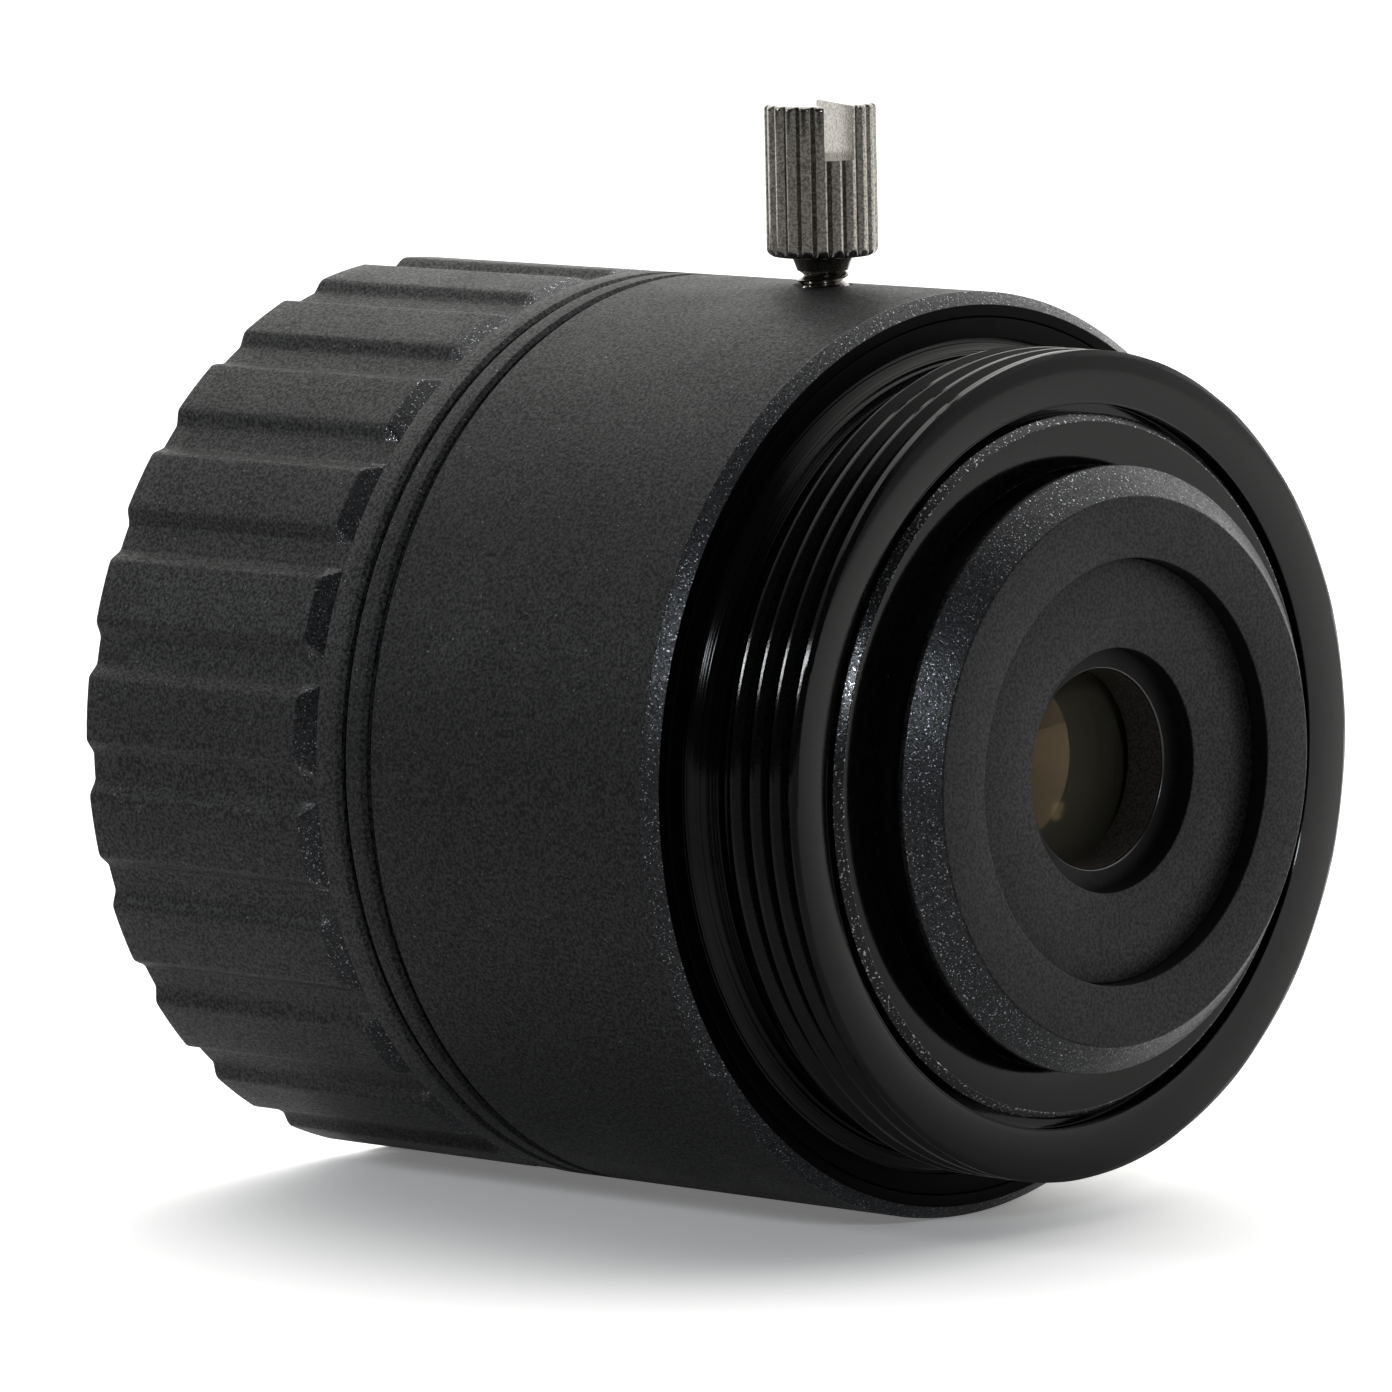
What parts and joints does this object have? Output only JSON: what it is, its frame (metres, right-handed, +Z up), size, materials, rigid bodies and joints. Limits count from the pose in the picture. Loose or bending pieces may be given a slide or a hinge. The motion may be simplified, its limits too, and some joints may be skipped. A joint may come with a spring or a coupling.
{
  "type": "cctv lens",
  "caption": "Short black camera lens with a threaded rear mount, a ribbed focus ring that slides the lens cell, and a knurled lock screw on top.",
  "frame": {"origin": "centre of the mount's flange plane, on the optical axis", "axes": "+X along the optical axis towards the camera body (rearward), +Z up through the lock screw, +Y to complete a right-handed set"},
  "size_m": [0.0305, 0.0283, 0.0338],
  "materials": {
    "barrel_black": "matt black anodised, fine blasted grain",
    "grip_black": "matt black anodised ribs",
    "mount_black": "turned and black anodised, glossy",
    "cell_ring_black": "satin black anodised",
    "inner_black": "matt black anodised",
    "pin_steel": "ground steel",
    "screw_nickel": "dark nickel plated, straight knurl",
    "pad_nylon": "natural nylon",
    "front_glass": "polished, coated",
    "inner_glass": "polished",
    "rear_glass": "polished, amber coating"
  },
  "bodies": {
    "barrel": {"main_barrel": "barrel_black", "mount_ring": "mount_black", "rear_guide_ring": "mount_black", "collar_ring": "barrel_black", "stop_pin": "pin_steel", "guide_pin": "pin_steel"},
    "focus_ring": {"helicoid_sleeve": "inner_black", "grip_ring": "grip_black", "front_trim_ring": "barrel_black"},
    "lens_cell": {"inner_barrel": "inner_black", "rear_cell_ring": "cell_ring_black", "rear_retainer": "inner_black", "front_bezel": "inner_black", "aperture_stop": "inner_black", "front_spacer": "inner_black", "middle_spacer": "inner_black", "stop_spacer": "inner_black", "rear_spacer": "inner_black", "front_element": "front_glass", "second_element": "inner_glass", "middle_element": "inner_glass", "doublet_front": "inner_glass", "doublet_rear": "inner_glass", "rear_element": "rear_glass"},
    "clamp_pad": {"lock_pad": "pad_nylon"},
    "lock_screw": {"lock_screw": "screw_nickel"}
  },
  "joints": [
    {"name": "focus_turn", "type": "hinge", "parent": "barrel", "child": "focus_ring", "pos_m": [0, 0, 0], "axis": [1, 0, 0], "range_deg": [0, 300]},
    {"name": "cell_slide", "type": "slide", "parent": "barrel", "child": "lens_cell", "axis": [-1, 0, 0], "range_m": [0, 0.001]},
    {"name": "lock_rise", "type": "slide", "parent": "barrel", "child": "clamp_pad", "axis": [0, 0, 1], "range_m": [0, 0.000525]},
    {"name": "lock_turn", "type": "hinge", "parent": "clamp_pad", "child": "lock_screw", "pos_m": [-0.0057, 0, 0], "axis": [0, 0, 1], "range_deg": [0, 540]}
  ],
  "couplings": [
    {"joint": "focus_turn", "follows": "cell_slide", "rad_per_m": 5236},
    {"joint": "lock_turn", "follows": "lock_rise", "rad_per_m": 17952}
  ]
}
